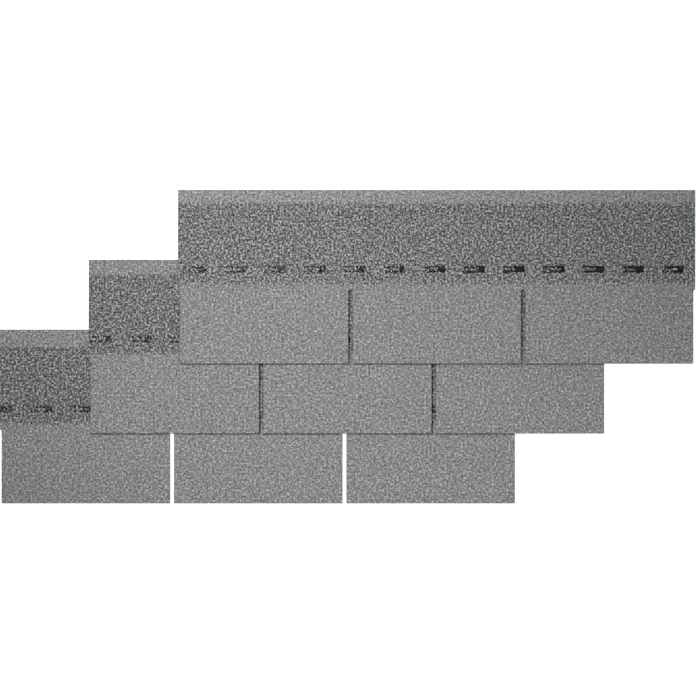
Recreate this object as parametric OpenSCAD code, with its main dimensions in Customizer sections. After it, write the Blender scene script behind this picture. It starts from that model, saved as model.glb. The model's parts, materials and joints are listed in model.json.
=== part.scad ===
// Three strip shingles of bitumen-coated glass mat, lapped in stepped courses as they lie for laying.
// The bottom course is flat on the floor. Each course above laps the one below it, shifted up and
// to the right, and where it overhangs it sags until its edge rests on the floor.
// The origin is at the middle of the footprint, on the floor, with +Y towards the top edges.
// All sizes are in millimetres.

/* [Shingle] */
// Length of one shingle
shingle_len = 1000; // [900:1:1200]
// Height of one shingle, from its top edge down to its butt edge
shingle_h = 336; // [300:1:410]
// Thickness of the coated and surfaced sheet
sheet_t = 3; // [2:0.1:6]

/* [Cutouts] */
// Number of tabs along the butt edge
tab_count = 3; // [2:1:5]
// Width of the cutout between two tabs
cutout_w = 7.5; // [4:0.5:16]
// Height of a cutout, up from the butt edge
cutout_h = 143; // [100:1:175]

/* [Sealant] */
// Number of sealant dabs in one shingle's length
dab_count = 13; // [5:1:18]
// Length of a dab
dab_len = 40; // [20:1:50]
// Width of a dab, up the shingle
dab_w = 13.5; // [6:0.5:20]
// Thickness of a dab
dab_t = 0.6; // [0.4:0.1:2]
// Distance from a shingle's top edge down to the middle of its row of dabs
dab_row = 153.5; // [145:0.5:160]

/* [Lapping] */
// How far each course stands above the one below
lap_step = 135; // [112:1:165]
// How far each course is shifted sideways from the one below
side_step = 172.5; // [100:0.5:250]

/* [Hidden] */

// The courses by number, from the bottom one up
BOTTOM = 0;
MIDDLE = 1;
TOP = 2;
course_count = 3;

// Where the first dab starts on each course: the row is laid along an endless web, which is then
// cut to length, so a dab can start before the shingle's end and be cut off there
dab_starts = [-17, 2, 12.5];
// The shortest end of a cut dab that is kept
dab_stub = 4;
// Clearance between a dab and each sheet that it lies against
seat_gap = 0.02;
// Flat steps that make up the curve of a sagging edge: enough of them that the facets of a sheet and
// of the dabs on it stay within the seat gap of each other
bend_steps = 12;
// How far a cutting tool runs past the sheet
overrun = 1;
// Smoothness of the rounded cutout ends
$fn = 48;

granules_grey = "#8b8b8b";
bitumen_black = "#1d1d1e";

pile_len = shingle_len + (course_count - 1) * side_step;
pile_depth = shingle_h + (course_count - 1) * lap_step;
// How much higher a course lies where the one below carries it, on its dabs
course_rise = sheet_t + dab_t + 2 * seat_gap;
tab_pitch = shingle_len / tab_count;
dab_pitch = shingle_len / dab_count;

// The edges of a course
function left_end(course) = -pile_len / 2 + course * side_step;
function right_end(course) = left_end(course) + shingle_len;
function butt_edge(course) = -pile_depth / 2 + course * lap_step;
function top_edge(course) = butt_edge(course) + shingle_h;

// A smooth rise from 0 to 1, drawn in flat steps
function ease(share) = share * share * (3 - 2 * share);
function stepped_ease(share) =
    let (along = min(max(share, 0), 1) * bend_steps, step = min(floor(along), bend_steps - 1))
    let (low = ease(step / bend_steps), high = ease((step + 1) / bend_steps))
    low + (high - low) * (along - step);

// Height of a course's underside: it rises by one course wherever the course below carries it, and
// comes down to the floor at its own top edge and right end
function underside(course, x, y) =
    course == BOTTOM ? 0 :
    underside(course - 1, x, y) + course_rise
        * stepped_ease((right_end(course) - x) / side_step)
        * stepped_ease((top_edge(course) - y) / lap_step);

// The lines at which a course bends, between two limits, with the limits themselves
function between(lines, low, high) = [low, each [for (v = lines) if (v > low && v < high) v], high];
function bend_columns(course) =
    [for (i = [0 : course * bend_steps]) right_end(BOTTOM) + i * side_step / bend_steps];
function bend_rows(course) =
    [for (i = [0 : course * bend_steps]) top_edge(BOTTOM) + i * lap_step / bend_steps];

// A slab that follows a course's sag, from_z above its underside and thick thick
module sagging_slab(course, x_range, y_range, from_z, thick) {
    xs = between(bend_columns(course), x_range[0], x_range[1]);
    ys = between(bend_rows(course), y_range[0], y_range[1]);
    columns = len(xs);
    rows = len(ys);
    layer = columns * rows;

    points = [
        for (z = [from_z, from_z + thick], x = xs, y = ys) [x, y, underside(course, x, y) + z]
    ];
    below = [for (i = [0 : columns - 2], j = [0 : rows - 2])
        let (a = i * rows + j, b = a + rows, c = b + 1, d = a + 1)
        each [[a, b, c], [a, c, d]]];
    above = [for (face = below) [face[0] + layer, face[2] + layer, face[1] + layer]];
    // The outline of the slab, anticlockwise from above
    rim = [
        for (i = [0 : columns - 2]) i * rows,
        for (j = [0 : rows - 2]) (columns - 1) * rows + j,
        for (i = [columns - 1 : -1 : 1]) i * rows + rows - 1,
        for (j = [rows - 1 : -1 : 1]) j,
    ];
    sides = [for (k = [0 : len(rim) - 1])
        let (a = rim[k], b = rim[(k + 1) % len(rim)])
        each [[a, a + layer, b + layer], [a, b + layer, b]]];

    polyhedron(points = points, faces = concat(below, above, sides));
}

// One cutout, open at the butt edge and rounded at its end
module cutout(course, x) {
    radius = cutout_w / 2;
    tool_t = course_count * course_rise + sheet_t + 2 * overrun;
    translate([x, butt_edge(course), -overrun]) {
        translate([-radius, -overrun, 0])
            cube([cutout_w, cutout_h - radius + overrun, tool_t]);
        translate([0, cutout_h - radius, 0])
            cylinder(h = tool_t, r = radius);
    }
}

// One shingle, with half a cutout at each end so that neighbours in a course keep the pattern
module shingle(course) {
    color(granules_grey)
    difference() {
        sagging_slab(
            course,
            [left_end(course), right_end(course)],
            [butt_edge(course), top_edge(course)],
            0, sheet_t
        );
        for (i = [0 : tab_count])
            cutout(course, left_end(course) + i * tab_pitch);
    }
}

// The row of sealant dabs on one shingle, which the tabs of the next course up stick to
module sealant_dabs(course) {
    middle_y = top_edge(course) - dab_row;
    color(bitumen_black)
    for (i = [0 : dab_count]) {
        start = left_end(course) + dab_starts[course] + i * dab_pitch;
        from_x = max(start, left_end(course));
        to_x = min(start + dab_len, right_end(course));
        if (to_x - from_x > dab_stub)
            sagging_slab(
                course,
                [from_x, to_x],
                [middle_y - dab_w / 2, middle_y + dab_w / 2],
                sheet_t + seat_gap, dab_t
            );
    }
}

shingle(BOTTOM);  // shingle_bottom
shingle(MIDDLE);  // shingle_middle
shingle(TOP);  // shingle_top
sealant_dabs(BOTTOM);  // sealant_bottom
sealant_dabs(MIDDLE);  // sealant_middle
sealant_dabs(TOP);  // sealant_top
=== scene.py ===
"""Looks for three lapped strip shingles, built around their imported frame.

Each shingle is a bitumen-coated glass mat with a face of stone granules, black cut edges and a
sanded back. Coarser chips stand proud of every exposed face, and a row of sealant dabs lies on each
shingle. Sizes and places come from the frame, and all of them are in metres.
"""

from __future__ import annotations

import json
import logging
import math
from collections.abc import Callable, Iterator
from contextlib import contextmanager
from dataclasses import dataclass
from enum import Enum
from typing import ClassVar

import bmesh
import bpy
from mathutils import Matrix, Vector

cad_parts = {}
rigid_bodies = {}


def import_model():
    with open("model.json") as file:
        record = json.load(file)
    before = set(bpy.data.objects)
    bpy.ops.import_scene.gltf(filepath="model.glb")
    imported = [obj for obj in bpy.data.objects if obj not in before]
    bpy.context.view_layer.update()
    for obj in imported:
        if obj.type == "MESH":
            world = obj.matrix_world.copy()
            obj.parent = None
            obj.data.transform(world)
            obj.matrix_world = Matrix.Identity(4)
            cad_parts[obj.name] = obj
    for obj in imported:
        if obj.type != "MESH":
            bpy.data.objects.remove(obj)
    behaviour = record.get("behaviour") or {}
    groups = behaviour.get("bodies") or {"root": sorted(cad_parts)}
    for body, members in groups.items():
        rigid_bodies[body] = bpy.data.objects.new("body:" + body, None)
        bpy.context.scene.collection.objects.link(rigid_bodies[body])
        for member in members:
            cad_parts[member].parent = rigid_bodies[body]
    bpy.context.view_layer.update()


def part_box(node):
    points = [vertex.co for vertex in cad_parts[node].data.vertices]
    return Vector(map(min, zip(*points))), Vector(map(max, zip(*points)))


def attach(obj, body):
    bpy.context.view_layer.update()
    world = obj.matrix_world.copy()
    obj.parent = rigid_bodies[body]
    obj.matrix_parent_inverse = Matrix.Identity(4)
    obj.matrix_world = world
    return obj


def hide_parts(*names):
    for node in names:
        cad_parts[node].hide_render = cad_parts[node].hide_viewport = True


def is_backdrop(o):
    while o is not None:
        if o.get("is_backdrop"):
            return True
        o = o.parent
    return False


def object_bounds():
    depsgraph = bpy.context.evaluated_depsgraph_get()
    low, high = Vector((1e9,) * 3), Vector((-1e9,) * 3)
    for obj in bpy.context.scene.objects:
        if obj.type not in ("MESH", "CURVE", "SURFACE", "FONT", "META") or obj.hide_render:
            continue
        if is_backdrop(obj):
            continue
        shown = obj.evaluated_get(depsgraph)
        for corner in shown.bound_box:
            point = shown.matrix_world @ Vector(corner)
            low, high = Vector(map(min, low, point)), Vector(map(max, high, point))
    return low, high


MM = 0.001
ROOT = "root"

log = logging.getLogger("shingles")


class Course(Enum):
    """The courses of shingles, numbered from the floor up."""

    BOTTOM = 0
    MIDDLE = 1
    TOP = 2

    @property
    def label(self) -> str:
        """The course's name, as the pieces are named."""
        return self.name.lower()


class Side(Enum):
    """The sides of a shingle, each the number of its material slot."""

    FACE = 0
    CUT_EDGE = 1
    BACK = 2


class Part(Enum):
    """The parts of a mesh that can be selected, by the name of their select mode."""

    EDGE = "EDGE"
    FACE = "FACE"


class Zone(Enum):
    """The stretch of a shingle's face that one lot of chips covers."""

    ALL = "all"
    HEADLAP = "headlap"
    TABS = "tabs"


# --- Node trees ---------------------------------------------------------------------------------


@dataclass(frozen=True)
class Wire:
    """What one node socket gives. Python's operators on it add Math nodes."""

    bench: Bench
    socket: bpy.types.NodeSocket

    def _math(self, operation: str, *terms: Wire | float) -> Wire:
        """Adds a Math node on these terms."""
        return self.bench.wire(
            "ShaderNodeMath", {"operation": operation}, dict(enumerate(terms))
        )

    def __add__(self, other: Wire | float) -> Wire:
        """This plus other."""
        return self._math("ADD", self, other)

    __radd__ = __add__

    def __sub__(self, other: Wire | float) -> Wire:
        """This less other."""
        return self._math("SUBTRACT", self, other)

    def __rsub__(self, other: float) -> Wire:
        """Other less this."""
        return self._math("SUBTRACT", other, self)

    def __mul__(self, other: Wire | float) -> Wire:
        """This times other."""
        return self._math("MULTIPLY", self, other)

    __rmul__ = __mul__

    def __truediv__(self, other: Wire | float) -> Wire:
        """This over other."""
        return self._math("DIVIDE", self, other)

    def __gt__(self, other: Wire | float) -> Wire:
        """1 where this is more than other, and 0 elsewhere."""
        return self._math("GREATER_THAN", self, other)

    def __lt__(self, other: Wire | float) -> Wire:
        """1 where this is less than other, and 0 elsewhere."""
        return self._math("LESS_THAN", self, other)

    def __abs__(self) -> Wire:
        """This without its sign."""
        return self._math("ABSOLUTE", self)

    def least(self, other: Wire | float) -> Wire:
        """The smaller of this and other."""
        return self._math("MINIMUM", self, other)

    def most(self, other: Wire | float) -> Wire:
        """The larger of this and other."""
        return self._math("MAXIMUM", self, other)

    def fraction(self) -> Wire:
        """How far this is past the whole number below it."""
        return self._math("FRACT", self)

    def off_nearest(self, pitch: float) -> Wire:
        """How far this is from the nearest multiple of pitch."""
        return abs(self - self._math("SNAP", self + pitch / 2, pitch))

    def rising(self, low: float, high: float) -> Wire:
        """Turns this into a mask.

        Args:
            low: up to where the mask is 0.
            high: from where on it is 1, with a smooth rise in between.

        Returns:
            The mask.
        """
        return self.bench.wire(
            "ShaderNodeMapRange",
            {"interpolation_type": "SMOOTHSTEP"},
            {"Value": self, "From Min": low, "From Max": high},
        )


class Bench:
    """A node tree being wired up."""

    def __init__(self, tree: bpy.types.NodeTree) -> None:
        """Starts on a tree.

        Args:
            tree: the shader or geometry tree that the nodes go into.
        """
        self.tree = tree

    def node(
        self,
        kind: str,
        settings: dict[str, object] | None = None,
        sockets: dict[str | int, object] | None = None,
    ) -> bpy.types.Node:
        """Adds a node, sets it up, and then fills its sockets.

        Args:
            kind: the node's type.
            settings: its properties, with a colour ramp's stops under "stops".
            sockets: its input sockets, by identifier, name or number, each a value or a Wire.

        Returns:
            The new node.
        """
        made = self.tree.nodes.new(kind)
        for name, setting in (settings or {}).items():
            if name == "stops":
                self._set_stops(made.color_ramp, setting)
            else:
                setattr(made, name, setting)
        self.feed(made, sockets or {})
        return made

    def feed(self, node: bpy.types.Node, sockets: dict[str | int, object]) -> None:
        """Fills input sockets of a node.

        Args:
            node: the node.
            sockets: the sockets, by identifier, name or number, each a value or a Wire.
        """
        for key, filling in sockets.items():
            entry = self.find(node.inputs, key)
            if isinstance(filling, Wire):
                self.tree.links.new(filling.socket, entry)
            else:
                entry.default_value = filling

    @staticmethod
    def find(sockets: bpy.types.bpy_prop_collection, key: str | int) -> bpy.types.NodeSocket:
        """The socket with this identifier, or else with this name or number."""
        matches = (socket for socket in sockets if socket.identifier == key)
        return next(matches, None) or sockets[key]

    def wire(
        self,
        kind: str,
        settings: dict[str, object] | None = None,
        sockets: dict[str | int, object] | None = None,
        output: str | int = 0,
    ) -> Wire:
        """Adds a node and returns one of its outputs, with node's arguments and that output."""
        return Wire(self, self.find(self.node(kind, settings, sockets).outputs, output))

    @staticmethod
    def _set_stops(ramp: bpy.types.ColorRamp, stops: tuple[tuple[float, float], ...]) -> None:
        """Gives a colour ramp its stops.

        Args:
            ramp: the ramp.
            stops: (place, grey shade) pairs in order.
        """
        while len(ramp.elements) < len(stops):
            ramp.elements.new(1.0)
        for element, (place, shade) in zip(ramp.elements, stops, strict=True):
            element.position = place
            element.color = grey(shade)

    def axes(self, vector: Wire) -> tuple[Wire, Wire, Wire]:
        """The three parts of a vector."""
        split = self.node("ShaderNodeSeparateXYZ", None, {0: vector})
        return tuple(Wire(self, output) for output in split.outputs)

    def vector(self, x: Wire | float, y: Wire | float, z: Wire | float) -> Wire:
        """A vector of three parts."""
        return self.wire("ShaderNodeCombineXYZ", None, {0: x, 1: y, 2: z})

    def noise(self, place: Wire, size: float, detail: float = 2.0) -> Wire:
        """Smooth noise round 0.5, with swells about size across."""
        return self.wire(
            "ShaderNodeTexNoise", None, {"Vector": place, "Scale": 1 / size, "Detail": detail}
        )

    def flat_noise(self, place: Wire, size: float) -> Wire:
        """Makes even noise that is the same at every height.

        Args:
            place: the place on the piece.
            size: about how large a swell of it is.

        Returns:
            The noise, round 0.5.
        """
        return self.wire(
            "ShaderNodeTexNoise",
            {"noise_dimensions": "2D"},
            {"Vector": place, "Scale": 1 / size, "Detail": 0.0},
        )

    def nudges(self, place: Wire, size: float, reach: float) -> tuple[Wire, Wire]:
        """Smooth sideways shifts round 0.

        Args:
            place: the place on the piece.
            size: about how large a swell of the shifts is.
            reach: how far apart the largest shifts either way can be.

        Returns:
            The shifts along x and along y.
        """
        noise = self.node("ShaderNodeTexNoise", None, {"Vector": place, "Scale": 1 / size})
        along, up, _ = self.axes(Wire(self, noise.outputs["Color"]))
        return (along - 0.5) * reach, (up - 0.5) * reach

    def grains(self, place: Wire, size: float) -> tuple[tuple[Wire, Wire, Wire], Wire]:
        """A flat pack of angular grains, the same at every height.

        Args:
            place: the place on the piece.
            size: about how large a grain is.

        Returns:
            Three random numbers for each grain, and how far a place is from the gaps round it,
            measured in grains.
        """
        colours, gaps = (
            self.node(
                "ShaderNodeTexVoronoi",
                {"voronoi_dimensions": "2D", "feature": feature},
                {"Vector": place, "Scale": 1 / size},
            )
            for feature in ("F1", "DISTANCE_TO_EDGE")
        )
        picks = self.axes(Wire(self, colours.outputs["Color"]))
        return picks, Wire(self, gaps.outputs["Distance"])

    def mix(self, share: Wire, first: object, second: object) -> Wire:
        """Blends two colours.

        Args:
            share: the second colour's share, from 0 to 1.
            first: the first colour, as a Wire or a value.
            second: the second one.

        Returns:
            The blend.
        """
        return self.wire(
            "ShaderNodeMix",
            {"data_type": "RGBA"},
            {"Factor_Float": share, "A_Color": first, "B_Color": second},
            "Result_Color",
        )

    def random(self, low: float, high: float, seed: int) -> Wire:
        """Draws a random number for each element, the same on each run.

        Args:
            low: the lowest that it can be.
            high: the highest.
            seed: the seed of the draw.

        Returns:
            The numbers.
        """
        return self.wire(
            "FunctionNodeRandomValue",
            {"data_type": "FLOAT"},
            {"Min_001": low, "Max_001": high, "Seed": seed},
            "Value_001",
        )


# --- Work by hand -------------------------------------------------------------------------------


def select_only(*pieces: bpy.types.Object) -> None:
    """Selects these objects and no others, and makes the first one active.

    Args:
        pieces: the objects, of which there is at least one.
    """
    bpy.ops.object.select_all(action="DESELECT")
    for piece in pieces:
        piece.select_set(True)
    bpy.context.view_layer.objects.active = pieces[0]


@contextmanager
def edit_mode(piece: bpy.types.Object) -> Iterator[None]:
    """Works on a piece in edit mode, with nothing in it selected at first.

    Args:
        piece: the mesh to work on.
    """
    select_only(piece)
    bpy.ops.object.mode_set(mode="EDIT")
    bpy.ops.mesh.select_all(action="DESELECT")
    try:
        yield
    finally:
        bpy.ops.object.mode_set(mode="OBJECT")


def select_where(
    piece: bpy.types.Object,
    part: Part,
    wanted: Callable[[bmesh.types.BMFace | bmesh.types.BMEdge], bool],
) -> None:
    """Selects, in edit mode, the faces or edges that pass a test and nothing else.

    Args:
        piece: the mesh in edit mode.
        part: what to select.
        wanted: the test, which gets a face or an edge.
    """
    bpy.ops.mesh.select_mode(type=part.value)
    bpy.ops.mesh.select_all(action="DESELECT")
    shape = bmesh.from_edit_mesh(piece.data)
    for candidate in shape.faces if part is Part.FACE else shape.edges:
        if wanted(candidate):
            candidate.select_set(True)
    bmesh.update_edit_mesh(piece.data)


def apply_modifier(piece: bpy.types.Object, kind: str, **settings: object) -> None:
    """Puts a modifier on a piece, sets it up and applies it.

    Args:
        piece: the mesh to change.
        kind: the modifier's type.
        settings: its properties.
    """
    select_only(piece)
    bpy.ops.object.modifier_add(type=kind)
    modifier = piece.modifiers[-1]
    for name, setting in settings.items():
        setattr(modifier, name, setting)
    bpy.ops.object.modifier_apply(modifier=modifier.name)


def reshape(piece: bpy.types.Object, work: Callable[[Bench, Wire], Wire]) -> None:
    """Changes a piece by a tree of geometry nodes, which is applied and then thrown away.

    Args:
        piece: the mesh to change.
        work: wires the tree, from the piece's geometry to what it returns.
    """
    tree = bpy.data.node_groups.new("work", "GeometryNodeTree")
    for way in ("INPUT", "OUTPUT"):
        tree.interface.new_socket("Geometry", in_out=way, socket_type="NodeSocketGeometry")
    bench = Bench(tree)
    given = bench.wire("NodeGroupInput")
    bench.node("NodeGroupOutput", None, {0: work(bench, given)})
    apply_modifier(piece, "NODES", node_group=tree)
    bpy.data.node_groups.remove(tree)


def settle(piece: bpy.types.Object) -> None:
    """Moves an object's place and scale into its mesh."""
    select_only(piece)
    bpy.ops.object.transform_apply(location=True, rotation=True, scale=True)


def gridded_slab(
    middle: tuple[float, float, float],
    size: tuple[float, float, float],
    cells: tuple[int, int],
) -> bpy.types.Object:
    """Models a flat slab with a grid of faces above and below.

    Args:
        middle: the middle of its underside.
        size: its length, depth and thickness.
        cells: how many faces there are along its length and its depth.

    Returns:
        The slab.
    """
    length, depth, thickness = size
    bpy.ops.mesh.primitive_grid_add(
        x_subdivisions=cells[0], y_subdivisions=cells[1], size=1, location=middle
    )
    piece = bpy.context.object
    piece.scale = (length, depth, 1.0)
    settle(piece)
    with edit_mode(piece):
        bpy.ops.mesh.select_all(action="SELECT")
        bpy.ops.mesh.extrude_region_move(TRANSFORM_OT_translate={"value": (0.0, 0.0, thickness)})
        bpy.ops.mesh.select_all(action="SELECT")
        bpy.ops.mesh.normals_make_consistent(inside=False)
    return piece


# --- Lapping ------------------------------------------------------------------------------------


@dataclass(frozen=True)
class Lapping:
    """How the courses lie on each other, worked out from the frame's boxes."""

    length: float
    height: float
    thickness: float
    rise: float
    side_step: float
    lap_step: float
    first_left: float
    first_butt: float

    @classmethod
    def from_frame(cls) -> Lapping:
        """Reads the frame's shingles.

        Returns:
            How they lie.
        """
        low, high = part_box("shingle_bottom")
        next_low, next_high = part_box("shingle_middle")
        size = high - low
        return cls(
            length=size.x,
            height=size.y,
            thickness=size.z,
            rise=next_high.z - high.z,
            side_step=next_low.x - low.x,
            lap_step=next_low.y - low.y,
            first_left=low.x,
            first_butt=low.y,
        )

    def left(self, course: Course) -> float:
        """The left end of a course."""
        return self.first_left + course.value * self.side_step

    def right(self, course: Course) -> float:
        """The right end of a course."""
        return self.left(course) + self.length

    def butt(self, course: Course) -> float:
        """The lower edge of a course."""
        return self.first_butt + course.value * self.lap_step

    def top(self, course: Course) -> float:
        """The upper edge of a course."""
        return self.butt(course) + self.height

    def underside(self, course: Course, x: Wire, y: Wire) -> Wire | float:
        """The height of a course's underside, which sags past the edges of the one below.

        Args:
            course: the course.
            x: the place along the shingles.
            y: the place up the courses.

        Returns:
            The height over the floor.
        """
        if course is Course.BOTTOM:
            return 0.0
        carried = (self.right(course) - x).rising(0.0, self.side_step)
        carried = carried * (self.top(course) - y).rising(0.0, self.lap_step)
        return self.underside(Course(course.value - 1), x, y) + carried * self.rise


# --- Finishes -----------------------------------------------------------------------------------


@dataclass(frozen=True)
class ShadeRamp:
    """Grey shades from dark to pale, as stops of (share, shade) with shares from 0 to 1."""

    stops: tuple[tuple[float, float], ...]

    def colour(self, bench: Bench, share: Wire) -> Wire:
        """The colour at a share."""
        return bench.wire("ShaderNodeValToRGB", {"stops": self.stops}, {0: share})


PALE_GRANULES = ShadeRamp(
    ((0.0, 0.1), (0.12, 0.155), (0.35, 0.205), (0.7, 0.258), (0.93, 0.33), (1.0, 0.45))
)
DARK_GRANULES = ShadeRamp(
    ((0.0, 0.035), (0.3, 0.09), (0.5, 0.155), (0.7, 0.24), (0.93, 0.37), (1.0, 0.46))
)
BITUMEN_AND_GLASS = ShadeRamp(((0.35, 0.006), (0.6, 0.014), (0.72, 0.05), (0.8, 0.12)))
BITUMEN_AND_SAND = ShadeRamp(((0.0, 0.012), (0.45, 0.022), (0.8, 0.05), (1.0, 0.16)))


@dataclass(frozen=True)
class FaceBands:
    """Where the bands of the granule face change, each measured down from the top edge, with
    painted light on the strip and painted shade on the headlap.
    """

    strip_end: float
    headlap_start: float
    # Painted light on the pale strip and painted shade on the dark headlap: shifts of one course's
    # granule shades against the other courses'
    strip_lift: float = 0.0
    headlap_lift: float = 0.0
    headlap_end: float = 175 * MM
    tabs_start: float = 188 * MM
    wander: float = 11 * MM
    wander_size: float = 14 * MM

    def shares(self, bench: Bench, place: Wire, top: float) -> tuple[Wire, Wire]:
        """How much of the granules at a place belong to the strip and to the headlap.

        Args:
            bench: the material's bench.
            place: the place on the face.
            top: the height of the shingle's top edge.

        Returns:
            The share of the pale strip along the top edge, and the share of the dark headlap.
        """
        _, y, _ = bench.axes(place)
        down = top - y + (bench.noise(place, self.wander_size) - 0.5) * self.wander
        begun = down.rising(self.strip_end, self.headlap_start)
        return 1 - begun, begun * (1 - down.rising(self.headlap_end, self.tabs_start))


def new_finish(name: str) -> tuple[bpy.types.Material, Bench, bpy.types.Node, Wire]:
    """Starts a material.

    Args:
        name: its name.

    Returns:
        The material, its bench, its shader and the object's own coordinates.
    """
    material = bpy.data.materials.new(name)
    material.use_nodes = True
    bench = Bench(material.node_tree)
    shader = material.node_tree.nodes["Principled BSDF"]
    place = bench.wire("ShaderNodeTexCoord", output="Object")
    return material, bench, shader, place


def bump(bench: Bench, height: Wire, depth: float) -> Wire:
    """A bumpy normal from a height of 0 to 1 that stands for depth."""
    return bench.wire("ShaderNodeBump", None, {"Distance": depth, "Height": height})


def grey(shade: float) -> tuple[float, float, float, float]:
    """A neutral colour."""
    return (shade, shade, shade, 1.0)


@dataclass(frozen=True)
class GranuleFace:
    """The granule-covered face between the coarser chips."""

    top: float
    bands: FaceBands
    granule: float = 1.5 * MM
    # Where the black gap round a granule ends, and where the granule reaches its own height, both
    # in granules from the gap's middle, and the share of the relief that the lowest granules have
    gap: tuple[float, float] = (0.02, 0.14)
    shoulder: float = 0.25
    lowest: float = 0.6
    relief: float = 0.4 * MM
    clump_size: float = 30 * MM
    clump_contrast: float = 0.12
    fleck_size: float = 4.0 * MM
    fleck_contrast: float = 1.55
    own_contrast: float = 0.7
    # The few granules whose random number is above this are white
    white_above: float = 0.9998
    white: float = 0.85
    gap_shade: float = 0.015
    roughness: float = 0.9
    gloss: float = 0.25

    def material(self, name: str) -> bpy.types.Material:
        """Makes the material.

        Args:
            name: its name.

        Returns:
            The material.
        """
        material, bench, shader, place = new_finish(name)
        picks, from_gap = bench.grains(self.own_place(bench, place), self.granule)
        shade = self.shade(bench, place, picks[0], picks[1])
        height = self.lowest + (1 - self.lowest) * picks[2]
        relief = from_gap.rising(0.0, self.shoulder) * height
        bench.feed(
            shader,
            {
                "Base Color": bench.mix(from_gap.rising(*self.gap), grey(self.gap_shade), shade),
                "Roughness": self.roughness,
                "Specular IOR Level": self.gloss,
                "Normal": bump(bench, relief, self.relief),
            },
        )
        return material

    def own_place(self, bench: Bench, place: Wire) -> Wire:
        """The place, shifted so that no two courses show the same flat pattern."""
        return bench.wire(
            "ShaderNodeMapping", None, {"Vector": place, "Location": (self.top, 0.0, 0.0)}
        )

    def shade(self, bench: Bench, place: Wire, pick: Wire, band_pick: Wire) -> Wire:
        """The colour of a granule.

        Args:
            bench: the material's bench.
            place: where it lies.
            pick: its random number for the shade within its blend.
            band_pick: its random number for the blend that it belongs to.

        Returns:
            The colour.
        """
        clumps = (bench.noise(place, self.clump_size) - 0.5) * self.clump_contrast
        own = self.own_place(bench, place)
        flecks = (bench.flat_noise(own, self.fleck_size) - 0.5) * self.fleck_contrast
        strip, headlap = self.bands.shares(bench, place, self.top)
        shifted = 0.5 + (pick - 0.5) * self.own_contrast + clumps + flecks
        # Painted light on the strip and painted shade on the headlap, set course by course
        shifted = shifted + strip * self.bands.strip_lift + headlap * self.bands.headlap_lift
        pale, dark = (ramp.colour(bench, shifted) for ramp in (PALE_GRANULES, DARK_GRANULES))
        blended = bench.mix(headlap > band_pick, pale, dark)
        return bench.mix(pick > self.white_above, blended, grey(self.white))


@dataclass(frozen=True)
class ChipStone:
    """The stone of the chips that stand proud, each with its own shade."""

    face: GranuleFace
    roughness: float = 0.85
    gloss: float = 0.3

    def material(self, name: str) -> bpy.types.Material:
        """Makes the material, which reads each chip's own random numbers.

        Args:
            name: its name.

        Returns:
            The material.
        """
        material, bench, shader, place = new_finish(name)
        pick, band_pick = (
            bench.wire("ShaderNodeAttribute", {"attribute_name": word}, output="Fac")
            for word in (ChipBed.SHADE_PICK, ChipBed.BAND_PICK)
        )
        bench.feed(
            shader,
            {
                "Base Color": self.face.shade(bench, place, pick, band_pick),
                "Roughness": self.roughness,
                "Specular IOR Level": self.gloss,
            },
        )
        return material


@dataclass(frozen=True)
class CutBitumen:
    """The black edge where the sheet was cut, with the ends of glass strands in it."""

    grain: float = 1.2 * MM
    grain_detail: float = 4.0
    relief: float = 0.3 * MM
    roughness: float = 0.45
    grain_roughness: float = 0.5

    def material(self, name: str) -> bpy.types.Material:
        """Makes the material.

        Args:
            name: its name.

        Returns:
            The material.
        """
        material, bench, shader, place = new_finish(name)
        grains = bench.noise(place, self.grain, self.grain_detail)
        bench.feed(
            shader,
            {
                "Base Color": BITUMEN_AND_GLASS.colour(bench, grains),
                "Roughness": grains * self.grain_roughness + self.roughness,
                "Normal": bump(bench, grains, self.relief),
            },
        )
        return material


@dataclass(frozen=True)
class SandedBack:
    """The back of a shingle: bitumen dusted with fine sand, in faint streaks along the web."""

    grain: float = 0.7 * MM
    grain_contrast: float = 0.8
    shoulder: float = 0.4
    streak_length: float = 120 * MM
    streak_width: float = 6 * MM
    streak_detail: float = 3.0
    streak_contrast: float = 0.6
    streak_floor: float = 0.4
    streak_shine: float = 0.3
    relief: float = 0.15 * MM

    def material(self, name: str) -> bpy.types.Material:
        """Makes the material.

        Args:
            name: its name.

        Returns:
            The material.
        """
        material, bench, shader, place = new_finish(name)
        picks, from_gap = bench.grains(place, self.grain)
        x, y, z = bench.axes(place)
        along = bench.vector(x / self.streak_length, y / self.streak_width, z / self.streak_width)
        streaks = bench.noise(along, 1.0, self.streak_detail)
        sand = picks[0] * self.grain_contrast
        sand = sand + (streaks - self.streak_floor) * self.streak_contrast
        relief = from_gap.rising(0.0, self.shoulder)
        bench.feed(
            shader,
            {
                "Base Color": BITUMEN_AND_SAND.colour(bench, sand),
                "Roughness": 1.0 - streaks * self.streak_shine,
                "Normal": bump(bench, relief, self.relief),
            },
        )
        return material


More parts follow.
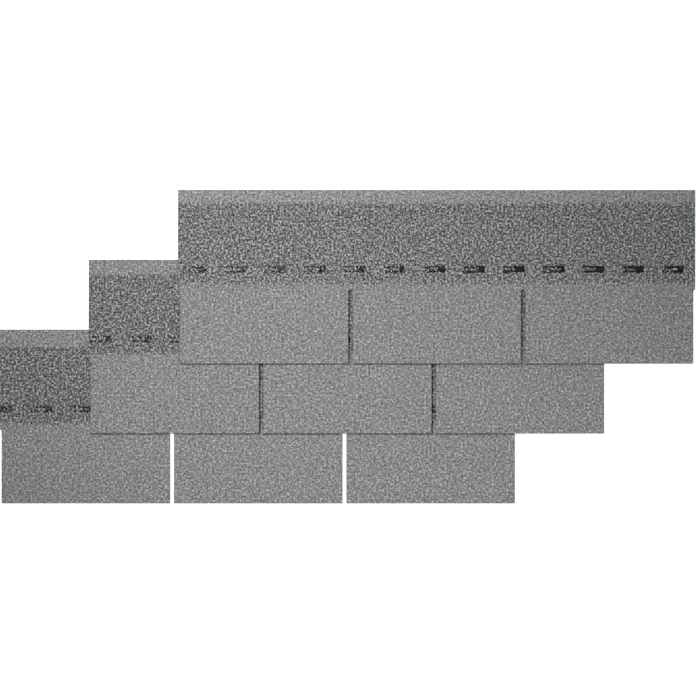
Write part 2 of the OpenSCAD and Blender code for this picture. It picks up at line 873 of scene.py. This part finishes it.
@dataclass(frozen=True)
class SealantBitumen:
    """Sealant that is black where it is thick, and shows granules where it is a thin film."""

    face: GranuleFace
    black: float = 0.004
    patch: float = 3.5 * MM
    patch_contrast: float = 2.6
    # The thickness of film at which granules begin to be covered, and at which they all are
    covering: tuple[float, float] = (0.3, 0.5)
    shoulder: float = 0.3
    bare_relief: float = 1.2
    relief: float = 0.4 * MM
    bare_roughness: float = 0.9
    covered_shine: float = 0.4
    gloss: float = 0.12

    def material(self, name: str) -> bpy.types.Material:
        """Makes the material, which reads how thick each dab is from its film attribute.

        Args:
            name: its name.

        Returns:
            The material.
        """
        material, bench, shader, place = new_finish(name)
        film = bench.wire(
            "ShaderNodeAttribute", {"attribute_name": SealantRow.FILM}, output="Fac"
        )
        own = self.face.own_place(bench, place)
        picks, from_gap = bench.grains(own, self.face.granule)
        granules = self.face.shade(bench, place, picks[0], picks[1])
        patches = bench.noise(place, self.patch)
        covered = (film + (patches - 0.5) * self.patch_contrast).rising(*self.covering)
        relief = from_gap.rising(0.0, self.shoulder) * (self.bare_relief - covered)
        bench.feed(
            shader,
            {
                "Base Color": bench.mix(covered, granules, grey(self.black)),
                "Roughness": self.bare_roughness - covered * self.covered_shine,
                "Specular IOR Level": self.gloss,
                "Normal": bump(bench, relief, self.relief),
            },
        )
        return material


# --- Shingles -----------------------------------------------------------------------------------


@dataclass(frozen=True)
class StripShingle:
    """One three-tab strip, as a sheet with a granule face, black cut edges and a sanded back."""

    course: Course
    lapping: Lapping
    tab_count: int = 3
    cutout_width: float = 7.5 * MM
    cutout_height: float = 143 * MM
    cells_along: int = 156
    cells_up: int = 57
    overrun: float = 2 * MM
    # The share of its half width to which a punch's corners are rounded, just short of meeting
    punch_round: float = 0.999
    punch_segments: int = 8
    weld: float = 0.2 * MM
    rim_round: float = 0.45 * MM
    rim_segments: int = 2
    rim_angle: float = math.radians(60)
    # How upright a normal is on the face and the back: cut edges and their rims lean more
    upright: float = 0.97
    swell: float = 0.25 * MM
    swell_size: float = 11 * MM
    ragged: float = 0.35 * MM
    ragged_size: float = 7 * MM

    @property
    def node(self) -> str:
        """The frame's node that this shingle stands for."""
        return f"shingle_{self.course.label}"

    @property
    def tab_pitch(self) -> float:
        """The distance between two cutouts."""
        return self.lapping.length / self.tab_count

    def build(self, finishes: tuple[bpy.types.Material, ...]) -> bpy.types.Object:
        """Builds, dresses and places the shingle.

        Args:
            finishes: its materials, in the order of Side.

        Returns:
            The finished piece.
        """
        piece = self._strip()
        self._cut_tabs(piece)
        apply_modifier(
            piece,
            "BEVEL",
            width=self.rim_round,
            segments=self.rim_segments,
            angle_limit=self.rim_angle,
            use_clamp_overlap=False,
        )
        self._dress(piece, finishes)
        reshape(piece, self._lay)
        piece.name = f"{self.node}_sheet"
        return piece

    def _strip(self) -> bpy.types.Object:
        """Models the uncut strip, flat on the floor.

        Returns:
            The strip, with grids of faces whose lines stay clear of the cutouts.
        """
        lap = self.lapping
        middle_x = lap.left(self.course) + lap.length / 2
        middle_y = lap.butt(self.course) + lap.height / 2
        return gridded_slab(
            (middle_x, middle_y, 0.0),
            (lap.length, lap.height, lap.thickness),
            (self.cells_along, self.cells_up),
        )

    def _cutter(self, x: float) -> bpy.types.Object:
        """The punch that cuts one cutout, rounded at its upper end.

        Args:
            x: the place of the cutout's middle.

        Returns:
            The punch.
        """
        lap = self.lapping
        low = lap.butt(self.course) - self.overrun
        high = lap.butt(self.course) + self.cutout_height
        bpy.ops.mesh.primitive_cube_add(
            size=1, location=(x, (low + high) / 2, lap.thickness / 2)
        )
        punch = bpy.context.object
        punch.scale = (self.cutout_width, high - low, lap.thickness + 2 * self.overrun)
        settle(punch)
        with edit_mode(punch):
            select_where(
                punch,
                Part.EDGE,
                lambda edge: all(v.co.y > high - self.overrun for v in edge.verts)
                and abs(edge.verts[0].co.z - edge.verts[1].co.z) > lap.thickness,
            )
            bpy.ops.mesh.bevel(
                offset=self.cutout_width / 2 * self.punch_round, segments=self.punch_segments
            )
        return punch

    def _cut_tabs(self, piece: bpy.types.Object) -> None:
        """Punches the cutouts, with half a cutout at each end of the strip.

        Args:
            piece: the uncut strip.
        """
        left = self.lapping.left(self.course)
        punches = [self._cutter(left + i * self.tab_pitch) for i in range(self.tab_count + 1)]
        select_only(*punches)
        bpy.ops.object.join()
        apply_modifier(
            piece, "BOOLEAN", operation="DIFFERENCE", object=punches[0], solver="EXACT"
        )
        bpy.data.objects.remove(punches[0])
        with edit_mode(piece):
            bpy.ops.mesh.select_all(action="SELECT")
            bpy.ops.mesh.remove_doubles(threshold=self.weld)

    def _dress(
        self, piece: bpy.types.Object, finishes: tuple[bpy.types.Material, ...]
    ) -> None:
        """Gives the face, the cut edges and the back their finishes.

        Args:
            piece: the flat sheet.
            finishes: its materials, in the order of Side.
        """
        piece.data.materials.clear()
        for finish in finishes:
            piece.data.materials.append(finish)
        facing = {
            Side.FACE: lambda face: face.normal.z > self.upright,
            Side.CUT_EDGE: lambda face: abs(face.normal.z) <= self.upright,
            Side.BACK: lambda face: face.normal.z < -self.upright,
        }
        with edit_mode(piece):
            for side, wanted in facing.items():
                select_where(piece, Part.FACE, wanted)
                piece.active_material_index = side.value
                bpy.ops.object.material_slot_assign()

    def _lay(self, bench: Bench, given: Wire) -> Wire:
        """Lays the flat sheet on what carries it, and gives it its swells and ragged edges.

        Args:
            bench: the tree's bench.
            given: the flat sheet.

        Returns:
            The sheet as it lies.
        """
        place = bench.wire("GeometryNodeInputPosition")
        x, y, z = bench.axes(place)
        on_face = z > self.lapping.thickness / 2
        swells = (bench.noise(place, self.swell_size) - 0.5) * on_face
        carried = self.lapping.underside(self.course, x, y)
        nudge_x, nudge_y = bench.nudges(place, self.ragged_size, self.ragged)
        move = bench.vector(nudge_x, nudge_y, swells * self.swell + carried)
        return bench.wire("GeometryNodeSetPosition", None, {"Geometry": given, "Offset": move})


# --- Sealant ------------------------------------------------------------------------------------


@dataclass(frozen=True)
class SealantFilm:
    """How thick the sealant is over a dab, from 0 to 1: two rails that run into a solid tail.

    Ranges run along a dab or out from its middle line, in shares of its length or half width.
    """

    groove_side: tuple[float, float] = (0.15, 0.45)
    rail: float = 0.68
    rail_gain: float = 0.12
    tail_start: tuple[float, float] = (0.45, 0.7)
    tail: float = 0.85
    groove: float = 0.3
    rim_side: tuple[float, float] = (0.85, 1.05)
    rim_loss: float = 0.4
    unevenness: float = 1.2
    weakest: float = 0.62
    weak_stretch: tuple[float, float] = (0.15, 0.7)

    def thickness(self, along: Wire, across: Wire, uneven: Wire, reach: Wire) -> Wire:
        """The thickness at a place.

        Args:
            along: the share of the dab's length.
            across: the share of its half width.
            uneven: noise round 0.5, which moves the start of each dab's tail.
            reach: the share of the shingle's length, along which the dabs grow thicker.

        Returns:
            The thickness.
        """
        rails = across.rising(*self.groove_side) * (self.rail + self.rail_gain * along)
        shifted = along + self.unevenness * uneven - self.unevenness / 2
        tail = shifted.rising(*self.tail_start) * self.tail
        strength = self.weakest + (1 - self.weakest) * reach.rising(*self.weak_stretch)
        rim = 1 - self.rim_loss * across.rising(*self.rim_side)
        return rails.most(tail).most(self.groove) * strength * rim


@dataclass(frozen=True)
class SealantRow:
    """The row of sealant dabs on one shingle, laid along an endless web and cut to its length."""

    shingle: StripShingle
    first_start: float
    film_shape: SealantFilm = SealantFilm()
    dab_count: int = 13
    dab_length: float = 42 * MM
    dab_width: float = 13.5 * MM
    dab_height: float = 0.6 * MM
    row_down: float = 153.5 * MM
    cells_along: int = 26
    cells_up: int = 9
    foot: float = 0.25 * MM
    thinnest: float = 0.12 * MM
    side_round: float = 0.75
    start_round: float = 0.08
    end_round: float = 0.94
    wobble: float = 5.0 * MM
    wobble_size: float = 9 * MM

    FILM: ClassVar[str] = "film"

    @property
    def node(self) -> str:
        """The frame's node that this row stands for."""
        return f"sealant_{self.shingle.course.label}"

    @property
    def pitch(self) -> float:
        """The distance from one dab to the next."""
        return self.shingle.lapping.length / self.dab_count

    def build(self, finish: bpy.types.Material) -> bpy.types.Object:
        """Builds, dresses and places the row.

        Args:
            finish: its material.

        Returns:
            The finished piece.
        """
        piece = self._first_dab()
        apply_modifier(
            piece,
            "ARRAY",
            count=self.dab_count + 1,
            use_relative_offset=False,
            use_constant_offset=True,
            constant_offset_displace=Vector((self.pitch, 0.0, 0.0)),
        )
        self._cut_to_length(piece)
        reshape(piece, self._lay)
        piece.data.materials.clear()
        piece.data.materials.append(finish)
        select_only(piece)
        bpy.ops.object.shade_smooth()
        piece.name = f"{self.node}_dabs"
        return piece

    @property
    def start(self) -> float:
        """Where the first dab starts."""
        return self.shingle.lapping.left(self.shingle.course) + self.first_start

    @property
    def middle(self) -> float:
        """The middle line of the row."""
        return self.shingle.lapping.top(self.shingle.course) - self.row_down

    def share_along(self, x: Wire) -> Wire:
        """0 at the start of a dab and 1 at its end, and more than 1 between it and the next."""
        return ((x - self.start) / self.pitch).fraction() * (self.pitch / self.dab_length)

    def share_across(self, y: Wire) -> Wire:
        """0 on the middle line of the row and 1 at the edges of the dabs."""
        return abs(y - self.middle) / (self.dab_width / 2)

    def film(self, along: Wire, across: Wire, x: Wire) -> Wire:
        """How thick the sealant is, from 0 to 1.

        Args:
            along: the share of the dab's length.
            across: the share of its half width.
            x: the place along the shingles.

        Returns:
            The thickness.
        """
        uneven = x.bench.noise(x.bench.vector(x, 0.0, 0.0), self.pitch / 2)
        reach = (x - self.start) / self.shingle.lapping.length
        return self.film_shape.thickness(along, across, uneven, reach)

    def _first_dab(self) -> bpy.types.Object:
        """Models the first dab.

        Returns:
            The dab, as a flat slab with a fine grid of faces.
        """
        return gridded_slab(
            (self.start + self.dab_length / 2, self.middle, -self.foot),
            (self.dab_length, self.dab_width, self.foot + self.thinnest),
            (self.cells_along, self.cells_up),
        )

    def _cut_to_length(self, piece: bpy.types.Object) -> None:
        """Cuts the row off at both ends of the shingle.

        Args:
            piece: the row of dabs.
        """
        lap, course = self.shingle.lapping, self.shingle.course
        ends = ((lap.left(course), -1.0), (lap.right(course), 1.0))
        with edit_mode(piece):
            for x, outwards in ends:
                bpy.ops.mesh.select_all(action="SELECT")
                bpy.ops.mesh.bisect(
                    plane_co=(x, 0.0, 0.0),
                    plane_no=(outwards, 0.0, 0.0),
                    use_fill=True,
                    clear_outer=True,
                )

    def _lay(self, bench: Bench, given: Wire) -> Wire:
        """Swells the dabs up, makes their outlines irregular and lays them on the shingle.

        Args:
            bench: the tree's bench.
            given: the flat dabs.

        Returns:
            The dabs as they lie, with their thickness as an attribute.
        """
        lap, course = self.shingle.lapping, self.shingle.course
        place = bench.wire("GeometryNodeInputPosition")
        x, y, z = bench.axes(place)
        along, across = self.share_along(x), self.share_across(y)
        film = self.film(along, across, x)
        rounded = (1 - across.rising(self.side_round, 1.0)) * along.rising(0.0, self.start_round)
        rounded = rounded * (1 - along.rising(self.end_round, 1.0))
        height = rounded * film * (self.dab_height - self.thinnest)
        carried = lap.underside(course, x, y) + lap.thickness
        nudge_x, nudge_y = bench.nudges(place, self.wobble_size, self.wobble)
        move = bench.vector(nudge_x, nudge_y, height * (z > 0.0) + carried)
        marked = bench.wire(
            "GeometryNodeStoreNamedAttribute",
            {"data_type": "FLOAT", "domain": "POINT"},
            {"Geometry": given, "Name": self.FILM, "Value": film},
        )
        return bench.wire("GeometryNodeSetPosition", None, {"Geometry": marked, "Offset": move})


# --- Chips --------------------------------------------------------------------------------------


@dataclass(frozen=True)
class ChipBed:
    """The coarser granules that stand proud of a shingle's exposed face."""

    shingle: StripShingle
    row: SealantRow
    zone: Zone
    spacing: float = 2.28 * MM
    # How many chips are tried for each square of the spacing, before those too close are dropped
    crowding: float = 2.0
    radius: float = 1.15 * MM
    sides: int = 3
    jaggedness: float = 0.35
    flatness: float = 0.5
    smallest: float = 0.75
    largest: float = 1.3
    tilt: float = math.radians(24)
    sunk: float = 0.15 * MM
    edge_margin: float = 1.5 * MM
    # How far chips reach in under the next course up
    tuck: float = 2.5 * MM
    variants: int = 5
    # How far below the top edge the headlap's lot ends and the tabs' lot begins
    split_down: float = 176.6 * MM
    # The thickness of film that chips stay clear of
    clear_above: float = 0.2
    # How upright a normal is on the face, its swells included
    upright: float = 0.9

    SHADE_PICK: ClassVar[str] = "shade_pick"
    BAND_PICK: ClassVar[str] = "band_pick"
    BAKE_MAP: ClassVar[str] = "OFBake"

    @property
    def seed(self) -> int:
        """The seed of this lot's random draws."""
        return 10 * self.shingle.course.value + list(Zone).index(self.zone)

    def build(self, sheet: bpy.types.Object, stone: bpy.types.Material) -> bpy.types.Object:
        """Scatters the chips on a finished sheet.

        Args:
            sheet: the shingle's finished piece.
            stone: the chips' material.

        Returns:
            The chips as one piece.
        """
        select_only(sheet)
        bpy.ops.object.duplicate()
        piece = bpy.context.object
        with edit_mode(piece):
            select_where(piece, Part.FACE, lambda face: face.normal.z < self.upright)
            bpy.ops.mesh.delete(type="FACE")
        chips = self._chips()
        reshape(piece, lambda bench, given: self._scatter(bench, given, chips, stone))
        for chip in list(chips.objects):
            bpy.data.objects.remove(chip)
        bpy.data.collections.remove(chips)
        zone = "" if self.zone is Zone.ALL else f"_{self.zone.value}"
        piece.name = f"granules_{self.shingle.course.label}{zone}"
        return piece

    def _chips(self) -> bpy.types.Collection:
        """Models a few different stone chips, each a flattened lump with few, rough faces.

        Returns:
            The chips, in a collection of their own.
        """
        chips = bpy.data.collections.new("chips")
        bpy.context.scene.collection.children.link(chips)
        for number in range(self.variants):
            bpy.ops.mesh.primitive_uv_sphere_add(
                segments=self.sides, ring_count=2, radius=self.radius
            )
            chip = bpy.context.object
            chip.scale.z = self.flatness
            settle(chip)
            with edit_mode(chip):
                bpy.ops.mesh.select_all(action="SELECT")
                bpy.ops.transform.vertex_random(
                    offset=self.radius * self.jaggedness, uniform=1.0, seed=number + 1
                )
            for home in chip.users_collection:
                home.objects.unlink(chip)
            chips.objects.link(chip)
        return chips

    def _scatter(
        self, bench: Bench, given: Wire, chips: bpy.types.Collection, stone: bpy.types.Material
    ) -> Wire:
        """Sets chips in the face, close together but apart.

        Args:
            bench: the tree's bench.
            given: the face that the chips are set in.
            chips: the chips to choose from.
            stone: their material.

        Returns:
            The chips as one mesh.
        """
        spread = bench.wire(
            "GeometryNodeDistributePointsOnFaces",
            {"distribute_method": "POISSON"},
            {
                "Mesh": given,
                "Distance Min": self.spacing,
                "Density Max": self.crowding / self.spacing**2,
                "Seed": self.seed,
            },
        )
        x, y, _ = bench.axes(bench.wire("GeometryNodeInputPosition"))
        kept = bench.wire(
            "GeometryNodeDeleteGeometry",
            {"domain": "POINT"},
            {"Geometry": spread, "Selection": 1 - self._exposed(x, y)},
        )
        pool = bench.wire(
            "GeometryNodeCollectionInfo", None, {"Collection": chips, "Separate Children": True}
        )
        turn = bench.vector(
            bench.random(-self.tilt, self.tilt, self.seed + 1),
            bench.random(-self.tilt, self.tilt, self.seed + 2),
            bench.random(0.0, math.tau, self.seed + 3),
        )
        size = bench.random(self.smallest, self.largest, self.seed + 4)
        placed = bench.wire(
            "GeometryNodeInstanceOnPoints",
            None,
            {
                "Points": kept,
                "Instance": pool,
                "Pick Instance": True,
                "Rotation": turn,
                "Scale": bench.vector(size, size, size),
            },
        )
        sunk = bench.wire(
            "GeometryNodeTranslateInstances",
            None,
            {
                "Instances": placed,
                "Translation": (0.0, 0.0, -self.sunk),
                "Local Space": False,
            },
        )
        for number, word in enumerate((self.SHADE_PICK, self.BAND_PICK)):
            sunk = bench.wire(
                "GeometryNodeStoreNamedAttribute",
                {"data_type": "FLOAT", "domain": "INSTANCE"},
                {
                    "Geometry": sunk,
                    "Name": word,
                    "Value": bench.random(0.0, 1.0, self.seed + 5 + number),
                },
            )
        solid = bench.wire("GeometryNodeRealizeInstances", None, {"Geometry": sunk})
        mapped = bench.wire(
            "GeometryNodeStoreNamedAttribute",
            {"data_type": "FLOAT2", "domain": "CORNER"},
            {"Geometry": solid, "Name": self.BAKE_MAP, "Value": self._bake_place(bench)},
        )
        return bench.wire(
            "GeometryNodeSetMaterial", None, {"Geometry": mapped, "Material": stone}
        )

    def _exposed(self, x: Wire, y: Wire) -> Wire:
        """Tells where this lot's chips show and lie clear of every edge and of the thick sealant.

        Args:
            x: the place along the shingles.
            y: the place up the courses.

        Returns:
            1 there, and 0 elsewhere.
        """
        lap, course = self.shingle.lapping, self.shingle.course
        half_slot = self.shingle.cutout_width / 2 + self.edge_margin
        from_end = (x - lap.left(course)).least(lap.right(course) - x)
        from_edge = (y - lap.butt(course)).least(lap.top(course) - y)
        inside = (from_end > self.edge_margin) * (from_edge > self.edge_margin)
        from_slot = (x - lap.left(course)).off_nearest(self.shingle.tab_pitch)
        below_end = lap.butt(course) + self.shingle.cutout_height + self.edge_margin > y
        open_here = inside * (1 - below_end * (1 - (from_slot > half_slot)))
        along, across = self.row.share_along(x), self.row.share_across(y)
        on_dab = along < 1 + self.radius / self.row.dab_length
        on_dab = on_dab * (across < 1 + self.radius / self.row.dab_width)
        film = self.row.film(along, across, x)
        open_here = open_here * (1 - on_dab * (film > self.clear_above))
        split = lap.top(course) - self.split_down
        if self.zone is Zone.HEADLAP:
            return open_here * (y > split)
        if self.zone is Zone.TABS:
            return open_here * (1 - (y > split))
        return open_here * (1 - self._covered(x, y))

    def _covered(self, x: Wire, y: Wire) -> Wire:
        """Tells where the next course up hides the face.

        Args:
            x: the place along the shingles.
            y: the place up the courses.

        Returns:
            1 there, and 0 elsewhere and under that course's cutouts.
        """
        lap, above = self.shingle.lapping, Course(self.shingle.course.value + 1)
        under = (x > lap.left(above) + self.tuck) * (y > lap.butt(above) + self.tuck)
        from_slot = (x - lap.left(above)).off_nearest(self.shingle.tab_pitch)
        slot = 1 - (from_slot > self.shingle.cutout_width / 2)
        slot = slot * (1 - (y > lap.butt(above) + self.shingle.cutout_height))
        return under * (1 - slot)

    def _bake_place(self, bench: Bench) -> Wire:
        """Maps the face flat, which gives each chip a place of its own.

        Args:
            bench: the tree's bench.

        Returns:
            The place on the map, from 0 to 1 each way.
        """
        x, y, _ = bench.axes(bench.wire("GeometryNodeInputPosition"))
        lap, course = self.shingle.lapping, self.shingle.course
        across = (x - lap.left(course) + self.radius) / (lap.length + 2 * self.radius)
        up = (y - lap.butt(course) + self.radius) / (lap.height + 2 * self.radius)
        return bench.vector(across, up, 0.0)


# --- Studio -------------------------------------------------------------------------------------


@dataclass(frozen=True)
class Studio:
    """A camera straight above, a pale floor and soft lights."""

    # The width in view at the height of the uppermost face, and where the camera aims, from the
    # middle of the courses
    view_width: float = 1.3437
    aim_right: float = 1.1 * MM
    aim_down: float = 2.6 * MM
    lens: float = 135.0
    sensor: float = 36.0
    # How far the camera sees, in its distances from the uppermost face
    sight: float = 10.0
    floor_size: float = 60.0
    floor_drop: float = 0.3 * MM
    floor_shade: float = 0.2
    floor_glow: float = 0.93
    floor_roughness: float = 0.9
    sky: float = 0.71
    key_power: float = 2480.0
    key_from: tuple[float, float, float] = (-1.0, 0.72, 1.15)
    key_aim: tuple[float, float, float] = (0.01, -0.1, 0.0)
    key_distance: float = 6.0
    # The radius round key_aim at which the lamp's light has faded away
    key_reach: float = 0.97
    key_size: float = 0.45

    def build(self) -> None:
        """Sets up the camera, the floor and the lights."""
        self._camera()
        self._floor()
        self._lights()
        bpy.context.scene.view_settings.view_transform = "Standard"

    def _camera(self) -> None:
        """A long lens, looking straight down with the courses going up."""
        low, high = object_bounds()
        middle = (low + high) / 2
        distance = self.view_width * self.lens / self.sensor
        bpy.ops.object.camera_add(
            location=(middle.x + self.aim_right, middle.y - self.aim_down, high.z + distance),
            rotation=(0, 0, 0),
        )
        camera = bpy.context.object
        camera.data.lens = self.lens
        camera.data.sensor_width = self.sensor
        camera.data.clip_end = self.sight * distance
        bpy.context.scene.camera = camera

    def _floor(self) -> None:
        """The pale floor, which isn't part of the object."""
        bpy.ops.mesh.primitive_plane_add(size=self.floor_size, location=(0, 0, -self.floor_drop))
        floor = bpy.context.object
        floor.name = "floor"
        material, bench, shader, _ = new_finish("pale_floor")
        bench.feed(
            shader,
            {
                "Base Color": grey(self.floor_shade),
                "Roughness": self.floor_roughness,
                "Specular IOR Level": 0.0,
                "Emission Color": grey(1.0),
                "Emission Strength": self.floor_glow,
            },
        )
        floor.data.materials.append(material)
        floor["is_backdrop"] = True

    def _lights(self) -> None:
        """An even sky, and one soft lamp from the upper left that fades away from its middle."""
        scene = bpy.context.scene
        scene.world = bpy.data.worlds.new("sky")
        scene.world.use_nodes = True
        sky = scene.world.node_tree.nodes["Background"]
        sky.inputs["Color"].default_value = grey(1.0)
        sky.inputs["Strength"].default_value = self.sky

        back = Vector(self.key_from).normalized()
        bpy.ops.object.light_add(
            type="SPOT",
            location=Vector(self.key_aim) + back * self.key_distance,
            rotation=back.to_track_quat("Z", "Y").to_euler(),
        )
        key = bpy.context.object.data
        key.energy = self.key_power
        key.shadow_soft_size = self.key_size
        key.spot_size = 2 * math.atan(self.key_reach / self.key_distance)
        key.spot_blend = 1.0


# --- All together -------------------------------------------------------------------------------

FIRST_DAB_STARTS = {Course.BOTTOM: -17 * MM, Course.MIDDLE: 2 * MM, Course.TOP: 12.5 * MM}
# The strips of the top and middle courses carry painted light, and the headlaps of the middle and
# bottom courses carry painted shade
BANDS = {
    Course.BOTTOM: FaceBands(31 * MM, 38 * MM, headlap_lift=-0.06),
    Course.MIDDLE: FaceBands(23 * MM, 34 * MM, strip_lift=0.03, headlap_lift=-0.05),
    Course.TOP: FaceBands(20 * MM, 32 * MM, strip_lift=0.16),
}


def build_course(course: Course, lapping: Lapping) -> list[bpy.types.Object]:
    """Builds one shingle with its chips and its sealant, and hides the frame's nodes that they
    stand for.

    Args:
        course: which of the shingles.
        lapping: how the courses lie.

    Returns:
        Its pieces.
    """
    face = GranuleFace(lapping.top(course), BANDS[course])
    shingle = StripShingle(course, lapping)
    sheet = shingle.build(
        (
            face.material(f"granules_{course.label}"),
            CutBitumen().material(f"cut_edge_{course.label}"),
            SandedBack().material(f"sanded_back_{course.label}"),
        )
    )
    stone = ChipStone(face).material(f"chips_{course.label}")
    zones = (Zone.HEADLAP, Zone.TABS) if course is Course.TOP else (Zone.ALL,)
    row = SealantRow(shingle, FIRST_DAB_STARTS[course])
    dabs = row.build(SealantBitumen(face).material(f"sealant_{course.label}"))
    chips = [ChipBed(shingle, row, zone).build(sheet, stone) for zone in zones]
    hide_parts(shingle.node)
    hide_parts(row.node)
    return [sheet, *chips, dabs]


def triangle_count(piece: bpy.types.Object) -> int:
    """How many triangles a piece's mesh has."""
    piece.data.calc_loop_triangles()
    return len(piece.data.loop_triangles)


def main() -> None:
    """Builds the shingles around the frame, and the studio around them."""
    logging.basicConfig(level=logging.INFO, format="%(name)s: %(message)s")
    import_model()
    lapping = Lapping.from_frame()
    Studio().build()
    for course in Course:
        for piece in build_course(course, lapping):
            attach(piece, ROOT)
            log.info("%s: %d triangles", piece.name, triangle_count(piece))


if __name__ == "__main__":
    main()
